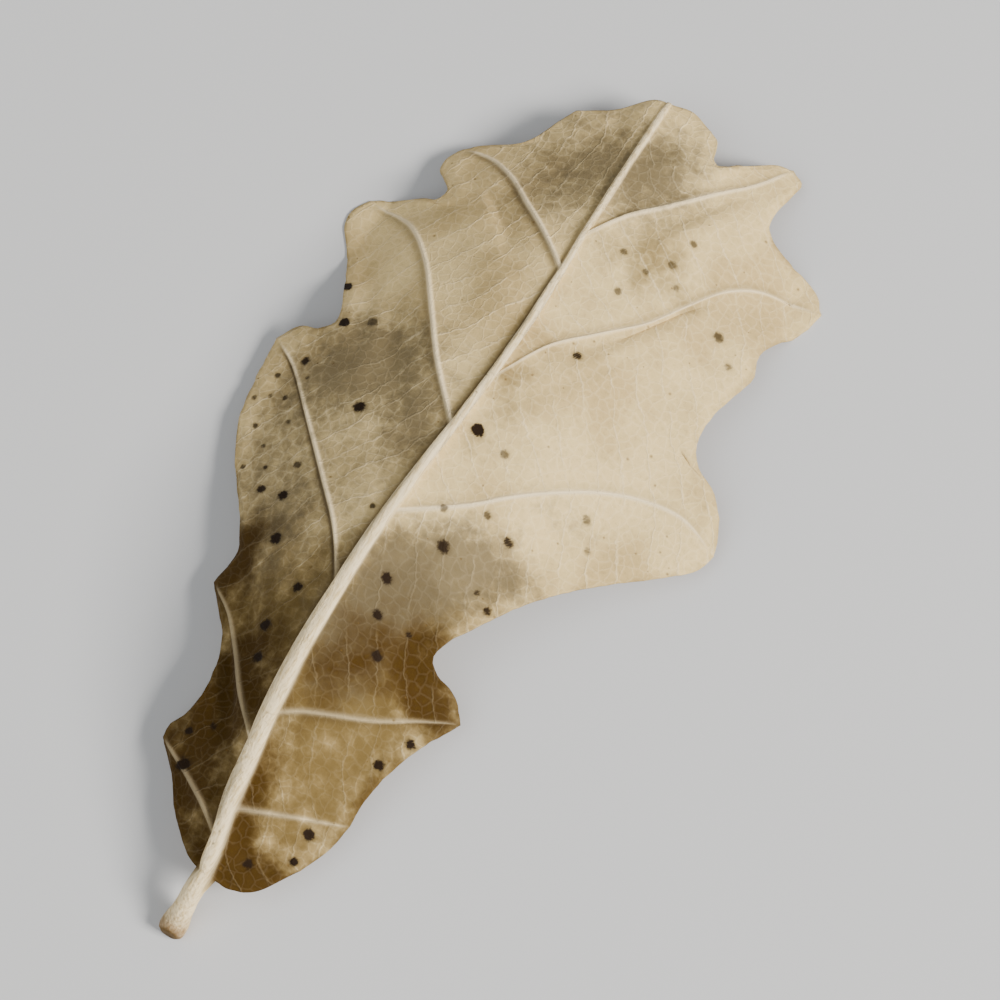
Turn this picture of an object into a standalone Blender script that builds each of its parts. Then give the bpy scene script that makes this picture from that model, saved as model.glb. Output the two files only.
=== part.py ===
"""One dried oak leaf, lying underside up on the tips of its lobes and the foot of its stalk.

The blade is a sheet laid out between the midrib, the side veins and the leaf's edge. Every
patch between two neighbouring side veins is blended from the four curves around it, so the
rows of the mesh run along the veins. The sheet is thickened upward, ribs are raised on the
visible underside, and the stalk is drawn out of the base. The part stands on z = 0 with the
tip of the leaf toward +Y. Lengths in the tables are millimetres.
"""

import math

import bmesh
import bpy
import numpy as np

MM = 0.001

# Blade
BLADE_THICKNESS = 0.6
COLUMNS = 14              # mesh columns from the midrib to the edge
ROW_STEP = 0.76           # mean distance between mesh rows along the midrib
SAG = 0.55                # how deep the blade hangs between two side veins
SAG_SPAN = 12.0           # vein spacing at which the full sag is reached
WAVE = 0.25               # height of the slow waves of the dried blade

# Ribs on the underside: at the foot of the leaf, at its tip
MIDRIB_HEIGHT = (0.95, 0.20)
MIDRIB_HALF_WIDTH = (1.05, 0.40)
SIDE_RIB_HEIGHT = (0.42, 0.12)
SIDE_RIB_HALF_WIDTH = (0.60, 0.35)

# Stalk: centre line from the blade to the foot, with the radius at each point
STALK = (
    ((0.6, 1.2, 2.9), 0.78),
    ((0.5, 0.2, 2.2), 0.76),
    ((0.4, -0.7, 1.4), 0.86),
    ((0.3, -1.4, 0.7), 1.06),
    ((0.3, -2.0, 0.6), 1.04),
    ((0.3, -2.4, 0.6), 0.86),
)

# Where the middle of the leaf's box lies on the drawing
CENTRE = (1.5, 36.0)

# The midrib from the stalk to the tip of the leaf: x, y and the height of the lower skin
MIDRIB = (
    (0.7, 2.3, 3.0), (-0.2, 9.0, 5.3), (-0.8, 17.5, 7.6), (-0.8, 26.8, 9.2),
    (-0.2, 35.1, 9.6), (0.6, 45.1, 9.2), (0.6, 55.6, 7.9), (0.3, 64.5, 6.0),
    (-0.1, 73.3, 3.6),
)

# Side veins of the right half, foot to tip: how much rib each one has, the y at which it
# leaves the midrib, then points along it. The first and the last entry are the edge of the
# leaf beside the stalk and beside its tip. Another one without a rib leads to a deep notch.
RIGHT_VEINS = (
    (0.0, 2.3, ((3.0, 2.3, 2.8), (4.4, 3.0, 2.6), (6.5, 6.1, 2.4))),
    (1.0, 7.3, ((2.5, 8.3, 4.4), (4.2, 9.1, 3.8), (7.9, 10.8, 2.5))),
    (1.0, 14.4, ((1.0, 15.6, 6.4), (3.1, 16.7, 5.6), (5.7, 18.1, 4.4), (8.2, 20.0, 3.0),
                 (11.0, 21.6, 2.1))),
    (1.0, 31.3, ((3.9, 34.6, 8.6), (6.3, 37.1, 7.8), (8.8, 39.6, 6.6), (11.4, 41.7, 5.2),
                 (14.3, 43.2, 3.6), (17.4, 43.8, 2.2), (20.8, 42.8, 1.0))),
    (1.0, 44.4, ((2.8, 49.0, 8.2), (5.1, 51.7, 7.2), (7.7, 54.9, 6.0), (9.6, 58.3, 4.8),
                 (11.6, 61.5, 3.4), (13.8, 63.6, 1.4), (18.4, 64.9, -1.7))),
    (1.0, 58.5, ((2.5, 62.0, 6.4), (4.4, 64.3, 5.6), (6.9, 67.8, 4.2), (9.2, 71.0, 2.7),
                 (10.7, 74.2, 1.1))),
    (0.0, 66.0, ((3.0, 67.9, 5.2), (5.8, 70.1, 4.2))),
    (0.0, 73.3, ((1.8, 73.8, 3.4), (3.8, 73.0, 3.2))),
)

# The leaf's edge from one of those ends to the next, without the ends themselves
RIGHT_EDGE = (
    ((7.5, 8.6, 2.4),),
    ((8.0, 13.0, 3.2), (9.2, 17.8, 2.8)),
    ((9.6, 23.2, 3.0), (7.9, 23.5, 4.6), (7.2, 24.2, 5.4), (7.4, 25.5, 5.6),
     (8.8, 27.9, 5.4), (10.8, 31.2, 4.6), (14.1, 35.2, 3.4), (18.1, 38.9, 2.0),
     (20.3, 41.2, 1.2)),
    ((19.9, 45.2, 1.6), (18.2, 47.1, 2.4), (16.5, 47.9, 3.2), (15.6, 49.3, 3.6),
     (15.5, 51.8, 3.4), (16.2, 54.8, 2.8), (16.6, 56.8, 2.2), (16.1, 58.2, 2.2),
     (16.6, 60.5, 1.0), (17.9, 63.0, -0.9)),
    ((17.0, 66.4, -0.5), (14.5, 67.0, 1.3), (12.6, 67.5, 2.4), (11.6, 68.3, 2.8),
     (11.4, 69.8, 2.4), (11.7, 72.0, 1.5), (11.8, 73.6, 0.9)),
    ((9.2, 73.5, 2.0), (7.5, 71.6, 3.4), (6.5, 70.4, 4.0)),
    ((5.4, 70.6, 4.1), (5.1, 71.6, 3.8), (4.7, 72.5, 3.4)),
)

LEFT_VEINS = (
    (0.0, 2.3, ((-1.2, 3.0, 2.9), (-3.5, 5.1, 2.4))),
    (1.0, 4.9, ((-1.6, 6.5, 4.0), (-4.0, 8.0, 3.0), (-7.6, 9.9, 1.8))),
    (1.0, 11.7, ((-3.2, 14.6, 5.6), (-5.6, 17.6, 4.4), (-8.0, 20.2, 3.2),
                 (-10.6, 22.0, 1.9))),
    (1.0, 24.5, ((-3.4, 28.4, 8.2), (-6.8, 32.1, 6.6), (-11.0, 36.5, 4.2),
                 (-14.5, 40.0, 2.2), (-17.1, 41.6, 1.2))),
    (1.0, 39.3, ((-3.3, 43.2, 8.6), (-6.4, 47.5, 6.8), (-9.2, 51.4, 4.8), (-11.7, 53.9, 3.2),
                 (-13.8, 55.1, 1.2), (-17.2, 55.7, -1.2))),
    (1.0, 54.8, ((-2.8, 57.7, 7.0), (-5.0, 59.4, 5.8), (-7.4, 61.3, 4.2), (-10.1, 62.6, 2.4),
                 (-12.7, 62.8, 1.2))),
    (0.0, 73.3, ((-1.2, 73.2, 3.4), (-2.4, 72.2, 3.1), (-3.7, 70.9, 3.0), (-5.0, 70.2, 2.7),
                 (-6.3, 69.5, 2.5))),
)

LEFT_EDGE = (
    ((-5.4, 7.6, 2.0),),
    ((-7.6, 10.9, 2.1), (-6.8, 11.9, 3.0), (-6.4, 13.9, 3.8), (-7.5, 18.0, 3.2)),
    ((-10.2, 24.7, 2.4), (-11.0, 26.4, 2.6), (-12.7, 28.7, 2.2), (-14.9, 31.8, 1.6),
     (-16.2, 34.6, 1.3), (-16.8, 38.0, 1.2)),
    ((-15.8, 43.2, 2.0), (-14.1, 43.4, 3.0), (-13.3, 44.1, 3.4), (-13.6, 45.6, 3.0),
     (-14.5, 47.4, 2.2), (-16.1, 50.4, 0.2), (-18.0, 53.3, -1.5), (-17.9, 54.6, -1.5)),
    ((-15.1, 56.8, 0.3), (-13.2, 57.3, 1.9), (-12.0, 57.4, 2.8), (-11.5, 58.1, 3.1),
     (-12.1, 59.0, 2.6), (-13.3, 60.2, 1.5), (-13.4, 61.4, 1.3)),
    ((-11.4, 63.9, 1.6), (-9.1, 64.8, 2.6), (-8.0, 65.6, 3.0), (-7.0, 67.8, 2.8)),
)

LEAF_COLOUR = (0.56, 0.49, 0.38, 1.0)


def smooth_curve(points):
    """Fine points of a smooth curve through the given ones, with their share of its length."""
    knots = np.array(points, dtype=float)
    steps = np.linalg.norm(np.diff(knots, axis=0), axis=1) ** 0.5
    times = np.concatenate(([0.0], np.cumsum(steps)))
    tangents = np.gradient(knots, times, axis=0)
    fine = []
    for index, step in enumerate(steps):
        for t in np.linspace(0.0, 1.0, 24, endpoint=False):
            start = (2 * t**3 - 3 * t**2 + 1) * knots[index]
            end = (3 * t**2 - 2 * t**3) * knots[index + 1]
            leave = (t**3 - 2 * t**2 + t) * step * tangents[index]
            arrive = (t**3 - t**2) * step * tangents[index + 1]
            fine.append(start + end + leave + arrive)
    fine.append(knots[-1])
    fine = np.array(fine)
    lengths = np.concatenate(([0.0], np.cumsum(np.linalg.norm(np.diff(fine, axis=0), axis=1))))
    return lengths / lengths[-1], fine


def along(curve, share):
    """The point at a share of a curve's length."""
    shares, fine = curve
    return np.array([np.interp(share, shares, fine[:, axis]) for axis in range(3)])


def on_midrib(midrib, y):
    """The midrib's point at the given y."""
    fine = midrib[1]
    return np.array([np.interp(y, fine[:, 1], fine[:, axis]) for axis in range(3)])


def ease(value):
    """0 below 0, 1 above 1 and a smooth step between."""
    value = min(max(value, 0.0), 1.0)
    return value * value * (3.0 - 2.0 * value)


class Patch:
    """The blade between two neighbouring veins, the midrib and the edge of the leaf."""

    def __init__(self, midrib, lower, upper, edge):
        self.ribs = (lower[0], upper[0])
        self.roots = (lower[1], upper[1])
        self.midrib = midrib
        self.low = smooth_curve((on_midrib(midrib, lower[1]),) + lower[2])
        self.high = smooth_curve((on_midrib(midrib, upper[1]),) + upper[2])
        self.edge = smooth_curve((lower[2][-1],) + edge + (upper[2][-1],))

    def width(self, g):
        """The distance between the two veins at a share g of their length."""
        return float(np.linalg.norm(along(self.high, g) - along(self.low, g)))

    def point(self, f, g):
        """A point of the lower skin: f runs from vein to vein, g from midrib to edge."""
        low, high = along(self.low, g), along(self.high, g)
        inner = on_midrib(self.midrib, self.roots[0] + f * (self.roots[1] - self.roots[0]))
        outer = along(self.edge, f)
        corners = ((1 - f) * ((1 - g) * along(self.low, 0) + g * along(self.low, 1))
                   + f * ((1 - g) * along(self.high, 0) + g * along(self.high, 1)))
        point = (1 - f) * low + f * high + (1 - g) * inner + g * outer - corners
        span = min(self.width(g) / SAG_SPAN, 1.0)
        point[2] -= SAG * span * math.sin(math.pi * f) * math.sin(math.pi * g ** 0.8)
        point[2] += (WAVE * ease(g * 1.6) * math.sin(0.31 * point[0] + 0.19 * point[1])
                     * math.sin(0.23 * point[1] - 0.11 * point[0]) * ease(point[2] / 2.0))
        return point

    def share(self, row, rows, start, g):
        """How far from vein to vein a mesh row runs, close beside the veins at both ends."""
        if row in (0, rows):
            return row / rows
        width = self.width(g)
        rib = SIDE_RIB_HALF_WIDTH[0] + g * (SIDE_RIB_HALF_WIDTH[1] - SIDE_RIB_HALF_WIDTH[0])
        beside = min(rib / width, 1 / rows)
        first = beside if self.ribs[0] else 1 / rows
        last = beside if self.ribs[1] else 1 / rows
        even = first + (row - 1) / max(rows - 2, 1) * (1 - first - last)
        return start + (even - start) * ease(g / 0.18)


def mesh_rows(left, right):
    """The y of every mesh row at the midrib, with a row at the root of every vein."""
    roots = sorted({vein[1] for vein in left + right})
    rows = [roots[0]]
    for lower, upper in zip(roots, roots[1:]):
        count = max(3, round((upper - lower) / ROW_STEP))
        rows.extend(lower + (upper - lower) * (step + 1) / count for step in range(count))
    return np.array(rows)


def half_blade(midrib, veins, edge, rows):
    """Lower skin and rib height of one half: arrays over the rows and columns of the mesh."""
    skin = np.zeros((len(rows), COLUMNS + 1, 3))
    ribs = np.zeros((len(rows), COLUMNS + 1))
    places = [int(np.argmin(abs(rows - vein[1]))) for vein in veins]
    for index in range(len(veins) - 1):
        first, last = places[index], places[index + 1]
        patch = Patch(midrib, veins[index], veins[index + 1], edge[index])
        for row in range(first, last + 1):
            start = (rows[row] - rows[first]) / (rows[last] - rows[first])
            outer = patch.point(patch.share(row - first, last - first, start, 1.0), 1.0)
            width = np.linalg.norm(outer - on_midrib(midrib, rows[row]))
            up = (rows[row] - rows[0]) / (rows[-1] - rows[0])
            rib = MIDRIB_HALF_WIDTH[0] + up * (MIDRIB_HALF_WIDTH[1] - MIDRIB_HALF_WIDTH[0])
            inner = rib / width
            shares = [0.0, inner * 0.55]
            shares.extend(inner + (1 - inner) * step / (COLUMNS - 2)
                          for step in range(COLUMNS - 1))
            raised = {first: patch.ribs[0], last: patch.ribs[1]}.get(row, 0.0)
            for column, g in enumerate(shares):
                f = patch.share(row - first, last - first, start, g)
                skin[row, column] = patch.point(f, g)
                height = SIDE_RIB_HEIGHT[0] + g * (SIDE_RIB_HEIGHT[1] - SIDE_RIB_HEIGHT[0])
                ribs[row, column] = height * raised
            tall = MIDRIB_HEIGHT[0] + up * (MIDRIB_HEIGHT[1] - MIDRIB_HEIGHT[0])
            ribs[row, 0] = tall
            ribs[row, 1] = tall * 0.72
    return skin, ribs


def blade_layout():
    """Lower skin, upward normals and rib heights over the whole blade, left edge to right."""
    midrib = smooth_curve(MIDRIB)
    rows = mesh_rows(LEFT_VEINS, RIGHT_VEINS)
    left, left_ribs = half_blade(midrib, LEFT_VEINS, LEFT_EDGE, rows)
    right, right_ribs = half_blade(midrib, RIGHT_VEINS, RIGHT_EDGE, rows)
    skin = np.concatenate((left[:, :0:-1], right), axis=1)
    ribs = np.concatenate((left_ribs[:, :0:-1], right_ribs), axis=1)
    skin[:, :, 2] = np.maximum(skin[:, :, 2], 0.0)
    normals = np.cross(np.gradient(skin, axis=1), np.gradient(skin, axis=0))
    normals /= np.linalg.norm(normals, axis=2, keepdims=True)
    return skin, normals, ribs


def blade_mesh(skin, normals, ribs):
    """A closed blade: a grid laid on the lower skin and thickened upward."""
    mesh = bmesh.new()
    row_count, column_count = ribs.shape
    bmesh.ops.create_grid(mesh, x_segments=column_count - 1, y_segments=row_count - 1, size=1.0)
    row_of = mesh.verts.layers.int.new("row")
    column_of = mesh.verts.layers.int.new("column")
    for vertex in mesh.verts:
        vertex[row_of] = round((vertex.co.y + 1) / 2 * (row_count - 1))
        vertex[column_of] = round((vertex.co.x + 1) / 2 * (column_count - 1))
        vertex.co = skin[vertex[row_of], vertex[column_of]]
    bmesh.ops.triangulate(mesh, faces=mesh.faces[:], quad_method="SHORT_EDGE")
    raised = bmesh.ops.extrude_face_region(mesh, geom=mesh.faces[:])
    for item in raised["geom"]:
        if isinstance(item, bmesh.types.BMVert):
            place = (item[row_of], item[column_of])
            item.co = skin[place] + normals[place] * (BLADE_THICKNESS + ribs[place])
            item[row_of] += row_count
    return mesh, row_of, column_of


def draw_stalk(mesh, row_of, column_of, row_count):
    """Extrude the middle of the blade's foot along the stalk, ring by ring."""
    middle = COLUMNS
    ends = [face for face in mesh.faces
            if all(vertex[row_of] in (0, row_count) and abs(vertex[column_of] - middle) <= 2
                   for vertex in face.verts)]
    centres = np.array([point for point, _ in STALK])
    directions = np.gradient(centres, axis=0)
    for centre, radius, direction in zip(centres, (r for _, r in STALK), directions):
        direction = direction / np.linalg.norm(direction)
        side = np.cross(direction, (0.0, 0.0, -1.0))
        side /= np.linalg.norm(side)
        above = np.cross(side, direction) * -1.0
        drawn = bmesh.ops.extrude_face_region(mesh, geom=ends)
        for item in drawn["geom"]:
            if isinstance(item, bmesh.types.BMVert):
                offset = item[column_of] - middle
                upper = item[row_of] >= row_count
                angle = math.radians(90 - 36 * offset if upper else 270 + 36 * offset)
                item.co = centre + radius * (math.cos(angle) * side + math.sin(angle) * above)
                item.co.z = max(item.co.z, 0.0)
        bmesh.ops.delete(mesh, geom=ends, context="FACES_ONLY")
        ends = [item for item in drawn["geom"] if isinstance(item, bmesh.types.BMFace)]


def build_leaf():
    """The leaf as one closed mesh in metres, centred on the origin."""
    skin, normals, ribs = blade_layout()
    mesh, row_of, column_of = blade_mesh(skin, normals, ribs)
    draw_stalk(mesh, row_of, column_of, len(ribs))
    bmesh.ops.triangulate(mesh, faces=[face for face in mesh.faces if len(face.verts) > 3])
    bmesh.ops.recalc_face_normals(mesh, faces=mesh.faces[:])
    bmesh.ops.translate(mesh, verts=mesh.verts[:], vec=(-CENTRE[0], -CENTRE[1], 0.0))
    bmesh.ops.scale(mesh, verts=mesh.verts[:], vec=(MM, MM, MM))
    data = bpy.data.meshes.new("oak_leaf")
    mesh.to_mesh(data)
    mesh.free()
    data.shade_smooth()
    return data


def leaf_material():
    """Pale grey-beige underside of a dried leaf."""
    material = bpy.data.materials.new("dried_oak_leaf")
    material.use_nodes = True
    shader = material.node_tree.nodes["Principled BSDF"]
    shader.inputs["Base Color"].default_value = LEAF_COLOUR
    shader.inputs["Roughness"].default_value = 0.8
    shader.inputs["Metallic"].default_value = 0.0
    material.diffuse_color = LEAF_COLOUR
    return material


def main():
    """Clear the scene and build the leaf in a collection of its own."""
    for existing in list(bpy.data.objects):
        bpy.data.objects.remove(existing, do_unlink=True)
    collection = bpy.data.collections.new("oak_leaf")
    bpy.context.scene.collection.children.link(collection)
    data = build_leaf()
    data.materials.append(leaf_material())
    collection.objects.link(bpy.data.objects.new("oak_leaf", data))


main()
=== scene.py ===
"""A dried oak leaf lying underside up on a pale floor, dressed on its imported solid.

The blade is laid out between the midrib, the side veins and the leaf's edge, as in the solid,
but with finer ribs, a thinner sheet, waves and the small relief of the tissue. Lengths in the
tables and in the size fields are millimetres.
"""

import logging
import math
from dataclasses import dataclass
from enum import Enum
from functools import reduce

import bmesh
import bpy
import numpy as np
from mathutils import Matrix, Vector, noise

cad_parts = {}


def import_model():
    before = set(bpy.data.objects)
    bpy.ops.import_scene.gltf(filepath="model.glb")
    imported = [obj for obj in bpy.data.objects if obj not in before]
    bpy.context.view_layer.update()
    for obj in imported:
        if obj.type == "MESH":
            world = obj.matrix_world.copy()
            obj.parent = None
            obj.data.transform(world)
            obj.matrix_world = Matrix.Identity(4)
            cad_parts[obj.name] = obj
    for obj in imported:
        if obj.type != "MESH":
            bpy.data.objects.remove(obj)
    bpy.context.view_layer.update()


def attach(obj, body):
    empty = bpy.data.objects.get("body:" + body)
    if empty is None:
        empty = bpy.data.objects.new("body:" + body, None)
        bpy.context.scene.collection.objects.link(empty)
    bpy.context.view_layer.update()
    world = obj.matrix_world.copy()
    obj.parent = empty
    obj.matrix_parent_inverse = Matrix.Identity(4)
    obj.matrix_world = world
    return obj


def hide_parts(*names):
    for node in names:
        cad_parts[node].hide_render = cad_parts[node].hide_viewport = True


LOG = logging.getLogger("oak_leaf")
MM = 0.001
CENTRE = (1.5, 36.0)

Point = tuple[float, float, float]
Colour = tuple[float, float, float]
Socket = bpy.types.NodeSocket


class Side(Enum):
    """The two halves of the blade, seen from above with the leaf's tip away."""

    LEFT = -1
    RIGHT = 1


@dataclass(frozen=True)
class Vein:
    """A side vein: the y at which it leaves the midrib, the points along it and its rib.

    Without a rib it is only a line on the blade, such as one that leads to a deep notch.
    """

    root: float
    path: tuple[Point, ...]
    rib: float = 1.0


@dataclass(frozen=True)
class HalfPlan:
    """The side veins of one half and the edge of the leaf between their tips.

    The first and the last vein are the leaf's own edge beside the stalk and beside its tip.
    """

    veins: tuple[Vein, ...]
    edge: tuple[tuple[Point, ...], ...]


MIDRIB: tuple[Point, ...] = (
    (0.7, 2.3, 3.0), (-0.2, 9.0, 5.3), (-0.8, 17.5, 7.6), (-0.8, 26.8, 9.2),
    (-0.2, 35.1, 9.6), (0.6, 45.1, 9.2), (0.6, 55.6, 7.9), (0.3, 64.5, 6.0),
    (-0.1, 73.3, 3.6),
)

RIGHT_HALF = HalfPlan(
    veins=(
        Vein(2.3, ((3.0, 2.3, 2.8), (4.4, 3.0, 2.6), (6.5, 6.1, 2.4)), rib=0.0),
        Vein(7.3, ((2.5, 8.3, 4.4), (4.2, 9.1, 3.8), (7.9, 10.8, 2.5))),
        Vein(14.4, ((1.0, 15.6, 6.4), (3.1, 16.7, 5.6), (5.7, 18.1, 4.4), (8.2, 20.0, 3.0),
                    (11.0, 21.6, 2.1))),
        Vein(31.3, ((3.9, 34.6, 8.6), (6.3, 37.1, 7.8), (8.8, 39.6, 6.6), (11.4, 41.7, 5.2),
                    (14.3, 43.2, 3.6), (17.4, 43.8, 2.2), (20.8, 42.8, 1.0))),
        Vein(44.4, ((2.8, 49.0, 8.2), (5.1, 51.7, 7.2), (7.7, 54.9, 6.0), (9.6, 58.3, 4.8),
                    (11.6, 61.5, 3.4), (13.8, 63.6, 1.4), (18.4, 64.9, -1.7))),
        Vein(58.5, ((2.5, 62.0, 6.4), (4.4, 64.3, 5.6), (6.9, 67.8, 4.2), (9.2, 71.0, 2.7),
                    (10.7, 74.2, 1.1))),
        Vein(66.0, ((3.0, 67.9, 5.2), (5.8, 70.3, 4.1)), rib=0.0),
        Vein(73.3, ((1.8, 73.8, 3.4), (3.8, 73.0, 3.2)), rib=0.0),
    ),
    edge=(
        ((7.5, 8.6, 2.4),),
        ((8.0, 13.0, 3.2), (9.2, 17.8, 2.8)),
        ((9.6, 23.2, 3.0), (7.9, 23.5, 4.6), (7.2, 24.2, 5.4), (7.4, 25.5, 5.6),
         (8.8, 27.9, 5.4), (10.8, 31.2, 4.6), (14.1, 35.2, 3.4), (18.1, 38.9, 2.0),
         (20.3, 41.2, 1.2)),
        ((19.9, 45.2, 1.6), (18.2, 47.1, 2.4), (16.5, 47.9, 3.2), (15.6, 49.3, 3.6),
         (15.5, 51.8, 3.4), (16.2, 54.8, 2.8), (16.6, 56.8, 2.2), (16.1, 58.2, 2.2),
         (16.6, 60.5, 1.0), (17.9, 63.0, -0.9)),
        ((17.0, 66.4, -0.5), (14.5, 67.0, 1.3), (12.6, 67.5, 2.4), (11.6, 68.3, 2.8),
         (11.4, 69.8, 2.4), (11.7, 72.0, 1.5), (11.8, 73.6, 0.9)),
        ((9.2, 73.4, 2.0), (7.6, 71.7, 3.4), (6.7, 70.8, 3.8)),
        ((5.4, 70.6, 4.1), (5.1, 71.6, 3.8), (4.7, 72.5, 3.4)),
    ),
)

LEFT_HALF = HalfPlan(
    veins=(
        Vein(2.3, ((-1.2, 3.0, 2.9), (-3.5, 5.1, 2.4)), rib=0.0),
        Vein(4.9, ((-1.6, 6.5, 4.0), (-4.0, 8.0, 3.0), (-7.6, 9.9, 1.8))),
        Vein(11.7, ((-3.2, 14.6, 5.6), (-5.6, 17.6, 4.4), (-8.0, 20.2, 3.2),
                    (-10.6, 22.0, 1.9))),
        Vein(24.5, ((-3.4, 28.4, 8.2), (-6.8, 32.1, 6.6), (-11.0, 36.5, 4.2),
                    (-14.5, 40.0, 2.2), (-17.1, 41.6, 1.2))),
        Vein(39.3, ((-3.3, 43.2, 8.6), (-6.4, 47.5, 6.8), (-9.2, 51.4, 4.8),
                    (-11.7, 53.9, 3.2), (-13.8, 55.1, 1.2), (-17.2, 55.7, -1.2))),
        Vein(54.8, ((-2.8, 57.7, 7.0), (-5.0, 59.4, 5.8), (-7.4, 61.3, 4.2),
                    (-10.1, 62.6, 2.4), (-12.7, 62.8, 1.2))),
        Vein(73.3, ((-1.2, 73.2, 3.4), (-2.4, 72.2, 3.1), (-3.7, 70.9, 3.0), (-5.0, 70.2, 2.7),
                    (-6.3, 69.5, 2.5)), rib=0.0),
    ),
    edge=(
        ((-5.4, 7.6, 2.0),),
        ((-7.6, 10.9, 2.1), (-6.8, 11.9, 3.0), (-6.4, 13.9, 3.8), (-7.5, 18.0, 3.2)),
        ((-10.2, 24.7, 2.4), (-11.0, 26.4, 2.6), (-12.7, 28.7, 2.2), (-14.9, 31.8, 1.6),
         (-16.2, 34.6, 1.3), (-16.8, 38.0, 1.2)),
        ((-15.8, 43.2, 2.0), (-14.1, 43.4, 3.0), (-13.3, 44.1, 3.4), (-13.6, 45.6, 3.0),
         (-14.5, 47.4, 2.2), (-16.1, 50.4, 0.2), (-18.0, 53.3, -1.5), (-17.9, 54.6, -1.5)),
        ((-15.1, 56.8, 0.3), (-13.2, 57.3, 1.9), (-12.0, 57.4, 2.8), (-11.5, 58.1, 3.1),
         (-12.1, 59.0, 2.6), (-13.3, 60.2, 1.5), (-13.4, 61.4, 1.3)),
        ((-11.4, 63.9, 1.6), (-9.1, 64.8, 2.6), (-8.0, 65.6, 3.0), (-7.0, 67.8, 2.8)),
    ),
)

PLANS = {Side.LEFT: LEFT_HALF, Side.RIGHT: RIGHT_HALF}


@dataclass(frozen=True)
class VeinShade:
    """Painted shade: a dark line close beside a side vein, toward the leaf's tip or its foot."""

    side: Side
    vein: int
    toward_tip: bool
    depth: float
    width: float


@dataclass(frozen=True)
class MidribShadow:
    """Painted shadow of the midrib: a dark line beside it on the left half, widest some way up
    the leaf.

    Its gap is in half widths of the midrib, its widths in millimetres, and the rest in shares
    of the way from the leaf's foot to its tip.
    """

    gap: float = 1.25
    least_width: float = 0.36
    more_width: float = 0.60
    widest: float = 0.32
    widest_reach: float = 0.22
    start: float = 0.08
    end: float = 0.95
    end_fade: float = 0.30

    def shade(self, across: np.ndarray, half_width: np.ndarray, up: np.ndarray) -> np.ndarray:
        """How dark the painted shadow is.

        Args:
            across: The distance to the midrib.
            half_width: The midrib's half width.
            up: Shares of the way from the leaf's foot to its tip.

        Returns:
            Its darkness, from 0 to 1.
        """
        wide = self.least_width + self.more_width * bell((up - self.widest) / self.widest_reach)
        line = bell((across - self.gap * half_width) / wide)
        return line * ease(up / self.start) * ease((self.end - up) / self.end_fade)


def ease(value: np.ndarray | float) -> np.ndarray:
    """A smooth step: 0 where the value is below 0, 1 above 1 and a smooth rise between."""
    kept = np.clip(value, 0.0, 1.0)
    return kept * kept * (3.0 - 2.0 * kept)


def bell(value: np.ndarray) -> np.ndarray:
    """1 where the value is 0, and falling smoothly to nearly 0 at 2 and -2."""
    return np.exp(-(value**2))


def ramp(ends: tuple[float, float], share: np.ndarray | float) -> np.ndarray | float:
    """A value that changes evenly from one end, at share 0, to the other at share 1."""
    return ends[0] + (ends[1] - ends[0]) * share


@dataclass(frozen=True)
class Unevenness:
    """Smooth seeded noise in millimetres: its height, the size of its bumps and its seed."""

    height: float
    size: float
    seed: float

    def over(self, places: np.ndarray, shift: float = 0.0) -> np.ndarray:
        """The noise over points.

        Args:
            places: Points in millimetres, the last axis x, y and z.
            shift: Added to the seed, so that two uses differ.

        Returns:
            One number for each point, between about plus and minus the height.
        """
        flat = places.reshape(-1, 3) / self.size + (self.seed + shift)
        values = [noise.noise(Vector(place)) for place in flat]
        return self.height * np.array(values).reshape(places.shape[:-1])


def make_piece(name: str, mesh: bmesh.types.BMesh,
               finishes: tuple[bpy.types.Material, ...]) -> bpy.types.Object:
    """Turns a finished mesh into an object of the scene.

    Args:
        name: The object's name.
        mesh: Its mesh, which is freed.
        finishes: Its materials.

    Returns:
        The object.
    """
    data = bpy.data.meshes.new(name)
    mesh.to_mesh(data)
    mesh.free()
    for finish in finishes:
        data.materials.append(finish)
    return put_in_scene(name, data)


def put_in_scene(name: str, data: bpy.types.ID) -> bpy.types.Object:
    """Makes an object and links it to the scene.

    Args:
        name: The object's name.
        data: Its mesh, lamp or camera.

    Returns:
        The object.
    """
    made = bpy.data.objects.new(name, data)
    bpy.context.scene.collection.objects.link(made)
    return made


class Curve:
    """A smooth curve through given points."""

    span_points = 24

    def __init__(self, points: tuple[Point, ...]) -> None:
        """Passes the curve through the points.

        Args:
            points: Its points, one end to the other.
        """
        knots = np.array(points, dtype=float)
        steps = np.linalg.norm(np.diff(knots, axis=0), axis=1) ** 0.5
        times = np.concatenate(([0.0], np.cumsum(steps)))
        tangents = np.gradient(knots, times, axis=0)
        t = np.linspace(0.0, 1.0, self.span_points, endpoint=False)[:, None]
        spans = [
            (2 * t**3 - 3 * t**2 + 1) * knots[index]
            + (3 * t**2 - 2 * t**3) * knots[index + 1]
            + (t**3 - 2 * t**2 + t) * step * tangents[index]
            + (t**3 - t**2) * step * tangents[index + 1]
            for index, step in enumerate(steps)
        ]
        self.fine = np.concatenate(spans + [knots[-1:]])
        lengths = np.linalg.norm(np.diff(self.fine, axis=0), axis=1)
        self.shares = np.concatenate(([0.0], np.cumsum(lengths)))
        self.length = float(self.shares[-1])
        self.shares /= self.length

    def read(self, wanted: np.ndarray | float, along: np.ndarray) -> np.ndarray:
        """Points of the curve, with x, y and z on a new last axis, by a measure along it."""
        return np.stack([np.interp(wanted, along, axis) for axis in self.fine.T], axis=-1)

    def at(self, share: np.ndarray) -> np.ndarray:
        """Points at shares, from 0 to 1, of the curve's length."""
        return self.read(share, self.shares)

    def at_y(self, y: np.ndarray | float) -> np.ndarray:
        """Points where a curve that always rises in y passes the given y values."""
        return self.read(y, self.fine[:, 1])


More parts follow.
